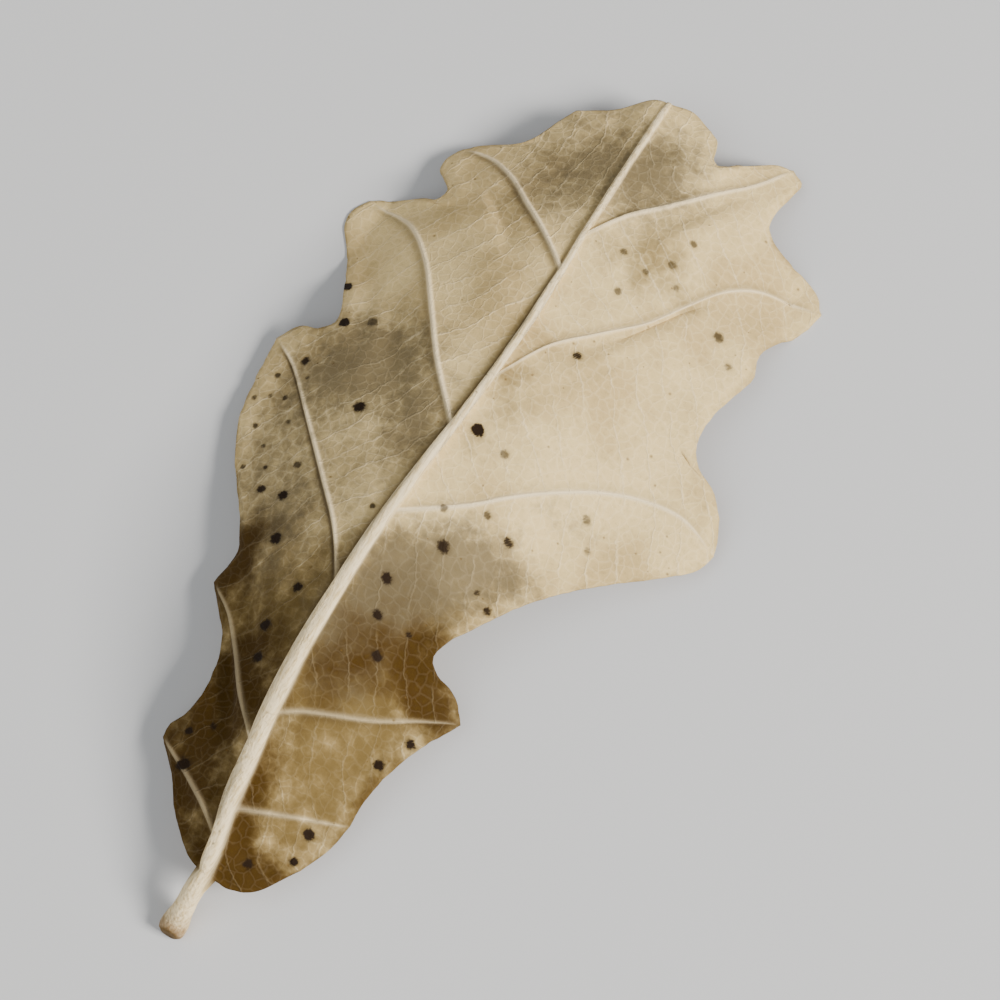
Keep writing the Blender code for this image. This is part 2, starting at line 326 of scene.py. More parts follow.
@dataclass
class Patch:
    """The blade between two neighbouring side veins, the midrib and the leaf's edge."""

    midrib: Curve
    lower: Vein
    upper: Vein
    edge_points: tuple[Point, ...]
    sag: float
    sag_span: float
    wave: float

    def __post_init__(self) -> None:
        """Draws the curves round the patch."""
        self.low = Curve((tuple(self.midrib.at_y(self.lower.root)),) + self.lower.path)
        self.high = Curve((tuple(self.midrib.at_y(self.upper.root)),) + self.upper.path)
        self.edge = Curve((self.lower.path[-1],) + self.edge_points + (self.upper.path[-1],))

    def width(self, g: np.ndarray) -> np.ndarray:
        """The distance between the two veins at shares g of their length."""
        return np.linalg.norm(self.high.at(g) - self.low.at(g), axis=-1)

    def outward(self) -> np.ndarray:
        """The mean direction of the two veins.

        Returns:
            A vector of length 1, from the midrib to the edge.
        """
        runs = [curve.fine[-1] - curve.fine[0] for curve in (self.low, self.high)]
        mean = sum(run / np.linalg.norm(run) for run in runs)
        return mean / np.linalg.norm(mean)

    def points(self, f: np.ndarray, g: np.ndarray) -> np.ndarray:
        """Points of the lower skin.

        Args:
            f: Shares of the way from the lower vein to the upper one.
            g: Shares of the way from the midrib to the edge.

        Returns:
            The points, with x, y and z on a new last axis.
        """
        f3, g3 = f[..., None], g[..., None]
        inner = self.midrib.at_y(ramp((self.lower.root, self.upper.root), f))
        foot, root = self.low.at(np.array(0.0)), self.high.at(np.array(0.0))
        near, far = self.low.at(np.array(1.0)), self.high.at(np.array(1.0))
        corners = ((1 - f3) * ((1 - g3) * foot + g3 * near)
                   + f3 * ((1 - g3) * root + g3 * far))
        points = ((1 - f3) * self.low.at(g) + f3 * self.high.at(g)
                  + (1 - g3) * inner + g3 * self.edge.at(f) - corners)
        x, y, z = points[..., 0], points[..., 1], points[..., 2]
        span = np.minimum(self.width(g) / self.sag_span, 1.0)
        hang = self.sag * span * np.sin(math.pi * f) * np.sin(math.pi * g**0.8)
        roll = (self.wave * ease(g * 1.6) * np.sin(0.31 * x + 0.19 * y)
                * np.sin(0.23 * y - 0.11 * x) * ease((z - hang) / 2.0))
        points[..., 2] = z - hang + roll
        return points


@dataclass
class BladeSheet:
    """Arrays over the rows and columns of the blade's mesh, left edge to right.

    They hold the lower skin, the height of the ribs, masks of the side veins, the midrib and
    the painted shade beside them, the count of the cross veins and the distance to the edge.
    """

    skin: np.ndarray
    rib: np.ndarray
    vein: np.ndarray
    midrib: np.ndarray
    painted_shade: np.ndarray
    rung: np.ndarray
    edge: np.ndarray


@dataclass
class Leaf:
    """The whole leaf: a thin blade with its ribs, and the stalk drawn out of its foot.

    A size in two numbers runs from the midrib's foot to its tip, or from a side vein's root to
    its end. A skirt is the share of a rib's height that is its soft base, and how many half
    widths that base reaches. Rungs are the cross veins between two side veins, and pillows the
    low swellings of the tissue between the rungs.
    """

    thickness: float = 0.34
    edge_thickness: float = 0.15
    edge_taper: float = 1.4
    row_step: float = 0.25
    least_rows: int = 12
    inner_columns: int = 7
    inner_reach: float = 1.5
    inner_grading: float = 1.25
    outer_columns: int = 66
    beside_vein: tuple[float, ...] = (0.07, 0.14, 0.22, 0.32, 0.46)
    beside_vein_start: float = 0.18
    sag: float = 0.55
    sag_span: float = 12.0
    wave: float = 0.25
    midrib_height: tuple[float, float] = (0.85, 0.16)
    midrib_half_width: tuple[float, float] = (0.54, 0.19)
    midrib_skirt: tuple[float, float] = (0.25, 1.5)
    midrib_mask: float = 1.05
    side_rib_height: tuple[float, float] = (0.28, 0.05)
    side_rib_half_width: tuple[float, float] = (0.22, 0.11)
    side_rib_skirt: tuple[float, float] = (0.22, 2.4)
    side_rib_fade: float = 0.10
    rib_hollow: float = 0.28
    deepest_rib_hollow: float = 0.35
    rung_spacing: float = 2.3
    rung_wander: Unevenness = Unevenness(0.55, 3.0, 4.0)
    rung_bow: float = 0.30
    rung_tilt: float = 0.25
    rung_shift: float = 0.37
    pillow: float = 0.050
    pillow_span: float = 6.0
    pillow_ends: tuple[float, float] = (5.0, 8.0)
    slow_wave: Unevenness = Unevenness(0.30, 8.5, 1.7)
    quick_wave: Unevenness = Unevenness(0.10, 3.6, 9.1)
    frill: Unevenness = Unevenness(0.16, 2.6, 5.3)
    frill_reach: float = 2.4
    calm_height: float = 1.6
    calm_edge: tuple[float, float] = (0.5, 0.55)
    nibbles: tuple[Unevenness, Unevenness] = (Unevenness(0.10, 0.9, 3.1),
                                              Unevenness(0.10, 0.9, 7.7))
    nibble_reach: float = 0.8
    nibble_cell: float = 0.04
    # Sizes of the painted shade beside the side veins.
    crease_gap: float = 1.6
    crease_narrowing: float = 1.6
    crease_start: float = 0.05
    # Painted shadow beside the midrib.
    painted_shade: MidribShadow = MidribShadow()
    # Dark lines of painted shade beside the side veins.
    vein_shades: tuple[VeinShade, ...] = (
        VeinShade(Side.LEFT, 2, False, 0.35, 0.35), VeinShade(Side.LEFT, 3, False, 1.00, 0.30),
        VeinShade(Side.LEFT, 4, False, 0.50, 0.45), VeinShade(Side.LEFT, 5, False, 0.70, 0.30),
        VeinShade(Side.RIGHT, 2, False, 0.30, 0.30), VeinShade(Side.RIGHT, 3, True, 0.16, 0.40),
        VeinShade(Side.RIGHT, 4, True, 0.30, 0.35), VeinShade(Side.RIGHT, 5, True, 0.34, 0.30),
    )
    stalk: tuple[tuple[Point, float], ...] = (
        ((0.6, 1.2, 2.9), 0.78), ((0.5, 0.2, 2.2), 0.76), ((0.4, -0.7, 1.4), 0.86),
        ((0.3, -1.4, 0.7), 1.06), ((0.3, -1.9, 0.6), 1.05), ((0.3, -2.2, 0.6), 0.96),
        ((0.3, -2.4, 0.62), 0.66),
    )
    stalk_rings: int = 26
    stalk_unevenness: float = 0.035
    stalk_bumps_around: float = 3.0
    stalk_rings_to_a_bump: float = 6.0
    stalk_edge_distance: float = 9.0

    @property
    def columns(self) -> int:
        """Mesh columns from the midrib to the edge."""
        return self.inner_columns + self.outer_columns

    def rows(self) -> np.ndarray:
        """Spaces the mesh rows.

        Returns:
            The y of every row at the midrib, with a row at the root of every vein.
        """
        roots = sorted({vein.root for plan in PLANS.values() for vein in plan.veins})
        rows = [np.array([roots[0]])]
        for lower, upper in zip(roots, roots[1:]):
            count = max(self.least_rows, round((upper - lower) / self.row_step))
            rows.append(np.linspace(lower, upper, count + 1)[1:])
        return np.concatenate(rows)

    def vein_shares(self, patch: Patch, count: int, start: np.ndarray,
                    g: np.ndarray) -> np.ndarray:
        """How far from vein to vein every mesh row of a patch runs.

        Args:
            patch: The patch.
            count: Its last row.
            start: The rows' shares at the midrib, one for each row.
            g: Shares of the way from the midrib to the edge, by row and column.

        Returns:
            The shares by row and column, with rows close together beside a vein.
        """
        width = np.maximum(patch.width(g), 0.01)
        row = np.arange(count + 1)[:, None]
        near = (0.0,) + self.beside_vein
        close = len(near) - 1
        beside = np.minimum(near[-1] / width, close / count)
        first = beside if patch.lower.rib else 0.0 * beside
        last = beside if patch.upper.rib else 0.0 * beside
        low = close if patch.lower.rib else 0
        high = count - close if patch.upper.rib else count
        even = first + (row - low) / max(high - low, 1) * (1 - first - last)
        shares = np.clip(even, 0.0, 1.0)
        for index, distance in enumerate(near):
            if patch.lower.rib:
                shares[index] = first[index] * distance / near[-1]
            if patch.upper.rib:
                shares[count - index] = 1 - last[count - index] * distance / near[-1]
        blend = ease(g / self.beside_vein_start)
        return start[:, None] + (shares - start[:, None]) * blend

    def side_rib(self, away: np.ndarray, g: np.ndarray) -> tuple[np.ndarray, np.ndarray]:
        """The rib of a side vein.

        Args:
            away: The distance to the vein.
            g: Shares of the way from the midrib to the edge.

        Returns:
            The rib's height and its mask.
        """
        half_width = ramp(self.side_rib_half_width, g)
        fade = ease((1.0 - g) / self.side_rib_fade)
        share, reach = self.side_rib_skirt
        top = np.maximum(1 - (away / half_width) ** 2, 0.0) ** 1.5
        profile = (1 - share) * top + share * bell(away / (reach * half_width))
        return ramp(self.side_rib_height, g) * fade * profile, fade * bell(away / half_width)

    def crease_shade(self, painted_vein_shade: VeinShade, away: np.ndarray, g: np.ndarray) -> np.ndarray:
        """How dark the painted shade beside a vein is.

        Args:
            painted_vein_shade: Where the painted shade lies and how dark it is.
            away: The distance to its vein.
            g: Shares of the way from the midrib to the edge.

        Returns:
            Its darkness, from 0 to 1.
        """
        half_width = ramp(self.side_rib_half_width, g)
        reach = painted_vein_shade.width * (self.crease_narrowing - g)
        gap = (away - self.crease_gap * half_width) / reach
        fade = ease((1.0 - g) / self.side_rib_fade)
        return painted_vein_shade.depth * fade * ease(g / self.crease_start) * bell(gap)

    def midrib_marks(self, side: Side, across: np.ndarray,
                     up: np.ndarray) -> tuple[np.ndarray, np.ndarray, np.ndarray]:
        """The midrib on one half of the blade.

        Args:
            side: Which half.
            across: The distance to the midrib.
            up: Shares of the way from the leaf's foot to its tip.

        Returns:
            The midrib's height, its mask and the painted shadow beside it.
        """
        width = ramp(self.midrib_half_width, up)
        share, reach = self.midrib_skirt
        top = np.sqrt(np.maximum(1 - (across / width) ** 2, 0.0))
        skirt = bell(across / (reach * width))
        height = ramp(self.midrib_height, up) * ((1 - share) * top + share * skirt)
        mask = np.exp(-((across / (self.midrib_mask * width)) ** 4))
        painted_shade = self.painted_shade.shade(across, width, up) if side is Side.LEFT else 0.0 * across
        return height, mask, painted_shade

    def half(self, side: Side, rows: np.ndarray) -> BladeSheet:
        """Lays out one half of the blade.

        Args:
            side: Which half.
            rows: The y of every mesh row at the midrib.

        Returns:
            Its arrays, from the midrib outwards.
        """
        plan = PLANS[side]
        midrib = Curve(MIDRIB)
        shape = (len(rows), self.columns + 1)
        skin = np.zeros(shape + (3,))
        rib, vein, painted_shade, rung, edge = (np.zeros(shape) for _ in range(5))
        places = [int(np.argmin(abs(rows - entry.root))) for entry in plan.veins]
        up = ((rows - rows[0]) / (rows[-1] - rows[0]))[:, None]
        for index, points in enumerate(plan.edge):
            first, last = places[index], places[index + 1]
            patch = Patch(midrib, plan.veins[index], plan.veins[index + 1], points,
                          self.sag, self.sag_span, self.wave)
            here = slice(first, last + 1)
            start = (rows[here] - rows[first]) / (rows[last] - rows[first])
            ones = np.ones((len(start), 1))
            outer = patch.points(self.vein_shares(patch, last - first, start, ones), ones)
            span = np.linalg.norm(outer[:, 0] - midrib.at_y(rows[here]), axis=1)[:, None]
            inner = ramp(self.midrib_half_width, up[here]) * self.inner_reach / span
            steps = np.arange(1, self.outer_columns + 1) / self.outer_columns
            close = np.linspace(0.0, 1.0, self.inner_columns + 1) ** self.inner_grading
            g = np.concatenate((inner * close, inner + (1 - inner) * steps), axis=1)
            f = self.vein_shares(patch, last - first, start, g)
            skin[here] = patch.points(f, g)
            width = patch.width(g)
            edge[here] = (1 - g) * span
            if index == 0:
                edge[here] = np.minimum(edge[here], f * width)
            if index == len(plan.edge) - 1:
                edge[here] = np.minimum(edge[here], (1 - f) * width)
            for entry, away in ((patch.lower, f * width), (patch.upper, (1 - f) * width)):
                if entry.rib:
                    tall, line = self.side_rib(away, g)
                    rib[here] = np.maximum(rib[here], tall)
                    vein[here] = np.maximum(vein[here], line)
            # Painted shade beside the side veins.
            for painted_vein_shade in self.vein_shades:
                if (painted_vein_shade.side, painted_vein_shade.vein) == (side, index + (not painted_vein_shade.toward_tip)):
                    away = (f if painted_vein_shade.toward_tip else 1 - f) * width
                    shade = self.crease_shade(painted_vein_shade, away, g)
                    painted_shade[here] = np.maximum(painted_shade[here], shade)
            run = (skin[here] - skin[first, 0]) @ patch.outward()
            bend = (self.rung_bow * np.sin(math.pi * f)
                    + self.rung_tilt * (f - 0.5) * side.value + self.rung_shift * index)
            wander = self.rung_wander.over(skin[here], index)
            rung[here] = (run + wander) / self.rung_spacing + bend
            bow = np.sin(math.pi * rung[here]) ** 2
            full = self.pillow * bow * np.sin(math.pi * f)
            near, far = (ease(share * steep) for share, steep in zip((g, 1 - g),
                                                                     self.pillow_ends))
            skin[here][..., 2] -= full * np.minimum(width / self.pillow_span, 1.0) * near * far
        across = np.linalg.norm(skin - skin[:, :1], axis=2)
        stem, stem_mask, stem_shadow = self.midrib_marks(side, across, up)
        return BladeSheet(skin, np.maximum(rib, stem), vein, stem_mask,
                          np.maximum(painted_shade, stem_shadow), rung, edge)

    def layout(self) -> BladeSheet:
        """Lays out the whole blade and gives it its fine waves.

        Returns:
            Its arrays, from the left edge to the right.
        """
        rows = self.rows()
        left, right = self.half(Side.LEFT, rows), self.half(Side.RIGHT, rows)
        joined = {
            name: np.concatenate((getattr(left, name)[:, :0:-1], getattr(right, name)), axis=1)
            for name in BladeSheet.__dataclass_fields__
        }
        sheet = BladeSheet(**joined)
        flat = sheet.skin * np.array((1.0, 1.0, 0.0))
        height = sheet.skin[..., 2]
        reach, share = self.calm_edge
        calm = ease(height / self.calm_height) * ease(sheet.edge / reach + share)
        frill = self.frill.over(flat) * np.exp(-sheet.edge / self.frill_reach)
        waves = self.slow_wave.over(flat) + self.quick_wave.over(flat)
        sheet.skin[..., 2] = np.maximum(height + calm * (waves + frill), 0.0)
        cells = np.cross(np.gradient(flat, axis=0), np.gradient(flat, axis=1))
        room = ease(np.linalg.norm(cells, axis=2) / self.nibble_cell)
        for axis, nibble in enumerate(self.nibbles):
            bite = nibble.over(flat) * np.exp(-sheet.edge / self.nibble_reach) * room
            sheet.skin[..., axis] += bite
        return sheet

    def blade(self, sheet: BladeSheet) -> tuple[bmesh.types.BMesh, "LeafMarks"]:
        """A closed blade: a grid laid on the lower skin and thickened upward.

        Args:
            sheet: The laid out blade.

        Returns:
            The mesh in millimetres and the layers that mark its places.
        """
        row_count, column_count = sheet.rib.shape
        normals = np.cross(np.gradient(sheet.skin, axis=1), np.gradient(sheet.skin, axis=0))
        normals /= np.linalg.norm(normals, axis=2, keepdims=True)
        body = ramp((self.edge_thickness, self.thickness), ease(sheet.edge / self.edge_taper))
        mesh = bmesh.new()
        bmesh.ops.create_grid(mesh, x_segments=column_count - 1, y_segments=row_count - 1,
                              size=1.0)
        marks = LeafMarks(mesh)
        hollow = self.rib_hollow * np.minimum(sheet.rib, self.deepest_rib_hollow)[..., None]
        lower = sheet.skin + normals * hollow
        upper = sheet.skin + normals * (body + sheet.rib)[..., None]
        for vertex in mesh.verts:
            row = round((vertex.co.y + 1) / 2 * (row_count - 1))
            column = round((vertex.co.x + 1) / 2 * (column_count - 1))
            vertex[marks.row], vertex[marks.column] = row, column
            vertex.co = lower[row, column]
        raised = bmesh.ops.extrude_face_region(mesh, geom=mesh.faces[:])
        for item in raised["geom"]:
            if isinstance(item, bmesh.types.BMVert):
                item.co = upper[item[marks.row], item[marks.column]]
                item[marks.upper] = 1
        return mesh, marks

    def draw_stalk(self, mesh: bmesh.types.BMesh, marks: "LeafMarks") -> None:
        """Extrudes the middle of the blade's foot along the stalk, ring by ring.

        Args:
            mesh: The blade, in millimetres.
            marks: The layers that mark its places.
        """
        middle, reach = self.columns, self.inner_columns
        ends = [
            face for face in mesh.faces
            if all(corner[marks.row] == 0 and abs(corner[marks.column] - middle) <= reach
                   for corner in face.verts)
        ]
        path = Curve(tuple(point for point, _ in self.stalk))
        shares = np.linspace(0.0, 1.0, self.stalk_rings)
        centres = path.at(shares)
        stops = [-point[1] for point, _ in self.stalk]
        radii = np.interp(-centres[:, 1], stops, [radius for _, radius in self.stalk])
        directions = np.gradient(centres, axis=0)
        directions /= np.linalg.norm(directions, axis=1, keepdims=True)
        turn = 180.0 / (2 * reach + 1)
        for ring, (centre, radius, direction) in enumerate(zip(centres, radii, directions)):
            side = np.cross(direction, (0.0, 0.0, -1.0))
            side /= np.linalg.norm(side)
            above = np.cross(direction, side)
            drawn = bmesh.ops.extrude_face_region(mesh, geom=ends)
            for item in drawn["geom"]:
                if not isinstance(item, bmesh.types.BMVert):
                    continue
                offset = item[marks.column] - middle
                angle = 90 - turn * offset if item[marks.upper] else 270 + turn * offset
                beside, over = math.cos(math.radians(angle)), math.sin(math.radians(angle))
                bump = noise.noise(Vector((self.stalk_bumps_around * beside,
                                           self.stalk_bumps_around * over,
                                           ring / self.stalk_rings_to_a_bump)))
                uneven = 1 + self.stalk_unevenness * bump
                item.co = centre + radius * uneven * (beside * side + over * above)
                item.co.z = max(item.co.z, 0.0)
                item[marks.stalk] = (ring + 1) / len(centres)
            bmesh.ops.delete(mesh, geom=ends, context="FACES_ONLY")
            ends = [item for item in drawn["geom"] if isinstance(item, bmesh.types.BMFace)]

    def build(self, finishes: tuple[bpy.types.Material, bpy.types.Material],
              ageing_and_shade: "AgeingAndShade") -> bpy.types.Object:
        """Builds the leaf and dresses it.

        Args:
            finishes: The materials of the underside and of the upper side.
            ageing_and_shade: Its ochre, grey and khaki patches, partly painted shade, and its
                spots.

        Returns:
            The leaf as one object in metres.
        """
        sheet = self.layout()
        mesh, marks = self.blade(sheet)
        self.draw_stalk(mesh, marks)
        for vertex in mesh.verts:
            place = (vertex[marks.row], vertex[marks.column])
            vertex[marks.age] = ageing_and_shade.at(vertex.co)
            vertex[marks.speck] = ageing_and_shade.nearest_speck(vertex.co)
            if vertex[marks.stalk] > 0.0:
                vertex[marks.ribs] = (0.0, 1.0, 0.0)
                vertex[marks.form] = (0.0, vertex[marks.stalk], self.stalk_edge_distance)
            else:
                vertex[marks.ribs] = (sheet.vein[place], sheet.midrib[place],
                                      sheet.rung[place])
                # The first number of form is the painted shade beside the veins and the midrib.
                vertex[marks.form] = (sheet.painted_shade[place], 0.0, sheet.edge[place])
        bmesh.ops.recalc_face_normals(mesh, faces=mesh.faces[:])
        for face in mesh.faces:
            corners = face.verts
            below = all(corner[marks.upper] == 0 and corner[marks.stalk] == 0
                        for corner in corners)
            face.material_index = 1 if below else 0
        bmesh.ops.translate(mesh, verts=mesh.verts[:], vec=(-CENTRE[0], -CENTRE[1], 0.0))
        bmesh.ops.scale(mesh, verts=mesh.verts[:], vec=(MM, MM, MM))
        piece = make_piece("dried_leaf", mesh, finishes)
        piece.data.shade_smooth()
        LOG.info("%s: %d faces", piece.name, len(piece.data.polygons))
        return piece


class LeafMarks:
    """The layers of the leaf's mesh: whole numbers for places, the rest for its finish."""

    def __init__(self, mesh: bmesh.types.BMesh) -> None:
        """Adds the layers.

        Args:
            mesh: The mesh to mark.
        """
        layers = mesh.verts.layers
        self.row, self.column, self.upper = map(layers.int.new, ("row", "column", "upper"))
        self.stalk = layers.float.new("stalk")
        self.ribs, self.form, self.age, self.speck = map(
            layers.float_vector.new, ("ribs", "form", "age", "speck"))


@dataclass(frozen=True)
class Stain:
    """A soft patch of another colour: its middle, its half widths and its strength."""

    x: float
    y: float
    wide: float
    long: float
    strength: float

    def at(self, place: Vector) -> float:
        """How strong the patch is at a place."""
        across, along = (place.x - self.x) / self.wide, (place.y - self.y) / self.long
        return self.strength * math.exp(-(across * across) - along * along)


@dataclass(frozen=True)
class Speck:
    """A dark spot: its middle, its radius and how dark it is."""

    x: float
    y: float
    radius: float
    depth: float

    def way(self, place: Vector) -> tuple[float, float]:
        """The way in x and y from its middle to a place, in its own radii."""
        return (place.x - self.x) / self.radius, (place.y - self.y) / self.radius


@dataclass(frozen=True)
class AgeingAndShade:
    """Where the leaf is ochre, grey and khaki, the last two partly painted shade, and its spots.

    The foot is khaki, partly painted shade, by a share of its own, from a y down over a length.
    """

    ochre: tuple[Stain, ...] = tuple(Stain(*row) for row in (
        (-4.5, 8.0, 4.5, 7.0, 1.0), (3.6, 3.4, 4.2, 2.8, 1.3), (6.9, 23.4, 3.4, 3.5, 1.05),
        (9.5, 21.0, 2.6, 1.6, 0.7), (-10.0, 24.2, 2.2, 4.2, 1.15), (-4.6, 17.0, 3.6, 5.5, 0.85),
        (1.3, 8.8, 1.3, 5.0, 0.7), (2.2, 20.3, 2.4, 4.0, 0.75), (7.9, 13.5, 0.9, 4.0, 0.5),
    ))
    # Grey patches, partly the leaf's own greying and partly painted shade; the two at y 64.2 and
    # 66.6, by the tip, are painted shade only.
    grey: tuple[Stain, ...] = tuple(Stain(*row) for row in (
        (-8.5, 28.5, 5.5, 7.0, 0.78), (-13.5, 36.0, 3.5, 7.0, 0.48), (-8.3, 42.2, 5.6, 5.2, 1.08),
        (-2.4, 37.5, 2.2, 4.0, 0.80), (3.3, 28.0, 4.0, 3.2, 1.22), (7.2, 32.2, 4.8, 2.8, 0.98),
        (1.8, 21.6, 3.2, 4.4, 1.12), (-3.9, 64.2, 5.4, 7.8, 0.81), (3.0, 66.6, 4.3, 5.4, 0.84),
        (10.5, 38.5, 4.5, 1.8, 0.40),
    ))
    # Darker khaki toward the foot: partly the leaf's own colour and partly painted shade.
    foot_khaki: tuple[float, float, float] = (0.75, 36.0, 18.0)
    # Khaki patches; the one at y 59.0, between the upper right side veins, is painted shade.
    khaki: tuple[Stain, ...] = tuple(Stain(*row) for row in (
        (2.6, 21.5, 3.8, 5.0, 0.8), (-5.0, 25.0, 4.0, 7.0, 0.3), (5.0, 12.5, 3.6, 4.0, 0.10),
        (3.6, 28.4, 3.4, 3.4, 0.50), (-4.7, 31.3, 1.6, 3.6, -0.8), (6.4, 59.0, 5.0, 3.6, 0.62),
        (2.0, 44.0, 2.8, 7.0, 0.53), (-3.5, 53.5, 3.5, 6.0, 0.25),
    ))
    most: float = 1.3
    speck_fade: tuple[float, float] = (2.0, 0.6)
    specks: tuple[Speck, ...] = tuple(Speck(*row) for row in (
        (1.8, 40.1, 0.49, 1.00), (-7.4, 38.1, 0.46, 0.85), (5.0, 49.5, 0.36, 0.81),
        (3.7, 59.0, 0.28, 0.65), (5.9, 58.5, 0.25, 0.61), (4.9, 55.9, 0.30, 0.65),
        (7.3, 60.2, 0.34, 0.61), (7.8, 62.7, 0.28, 0.65), (8.4, 58.9, 0.23, 0.57),
        (12.9, 57.7, 0.41, 0.73), (14.6, 56.2, 0.28, 0.61), (4.4, 39.6, 0.34, 0.65),
        (5.6, 34.9, 0.30, 0.69), (11.6, 39.4, 0.30, 0.61), (12.7, 37.6, 0.25, 0.57),
        (4.0, 31.2, 0.45, 0.81), (2.7, 33.5, 0.28, 0.65), (7.7, 34.4, 0.34, 0.81),
        (1.7, 27.0, 0.39, 0.89), (2.4, 24.4, 0.34, 0.89), (-16.0, 36.4, 0.22, 0.73),
        (3.8, 21.9, 0.37, 0.89), (8.8, 29.3, 0.32, 0.81), (7.5, 30.1, 0.23, 0.73),
        (-7.7, 26.4, 0.42, 1.00), (-3.8, 23.4, 0.37, 0.89), (-4.7, 20.1, 0.39, 0.93),
        (-3.9, 17.7, 0.37, 0.89), (-9.1, 29.7, 0.37, 0.89), (-11.1, 29.7, 0.32, 0.81),
        (-13.6, 30.9, 0.22, 0.73), (-9.4, 32.3, 0.30, 0.69), (-13.8, 40.5, 0.34, 0.81),
        (-14.6, 34.3, 0.25, 0.73), (-13.6, 37.2, 0.23, 0.73), (-10.5, 45.2, 0.39, 0.65),
        (-14.4, 47.7, 0.41, 0.97), (-12.6, 44.4, 0.40, 0.97), (-5.0, 8.6, 0.48, 1.00),
        (-5.9, 10.9, 0.30, 0.89), (-4.3, 11.9, 0.25, 0.81), (7.6, 15.6, 0.42, 0.93),
        (8.7, 18.2, 0.37, 0.89), (4.9, 24.6, 0.22, 0.81), (5.8, 8.6, 0.40, 0.93),
        (3.1, 4.5, 0.34, 0.81), (5.8, 6.4, 0.30, 0.89), (-1.9, 31.0, 0.23, 0.73),
        (-13.0, 33.0, 0.20, 0.70), (-12.2, 35.4, 0.20, 0.60), (-14.9, 37.0, 0.20, 0.65),
        (-11.8, 31.4, 0.20, 0.75), (-15.3, 38.7, 0.24, 0.75), (-12.8, 39.2, 0.18, 0.60),
    ))

    def at(self, place: Vector) -> Point:
        """How strong the leaf's ochre, grey and khaki tones are, some of it painted shade.

        Args:
            place: A place on the leaf in millimetres.

        Returns:
            How ochre, how grey and how khaki it is there.
        """
        ochre, grey, khaki = (sum(stain.at(place) for stain in stains)
                              for stains in (self.ochre, self.grey, self.khaki))
        share, start, length = self.foot_khaki
        khaki += share * float(ease((start - place.y) / length))
        return tuple(min(max(value, 0.0), self.most) for value in (ochre, grey, khaki))

    def nearest_speck(self, place: Vector) -> Point:
        """The way to the nearest spot.

        Args:
            place: A place on the leaf in millimetres.

        Returns:
            The way in x and y in the spot's radii, then its darkness, which fades to 0 before
            another spot is nearer.
        """
        away, way, depth = min((math.hypot(*speck.way(place)), speck.way(place), speck.depth)
                               for speck in self.specks)
        end, fade = self.speck_fade
        return way[0], way[1], depth * float(ease((end - away) / fade))


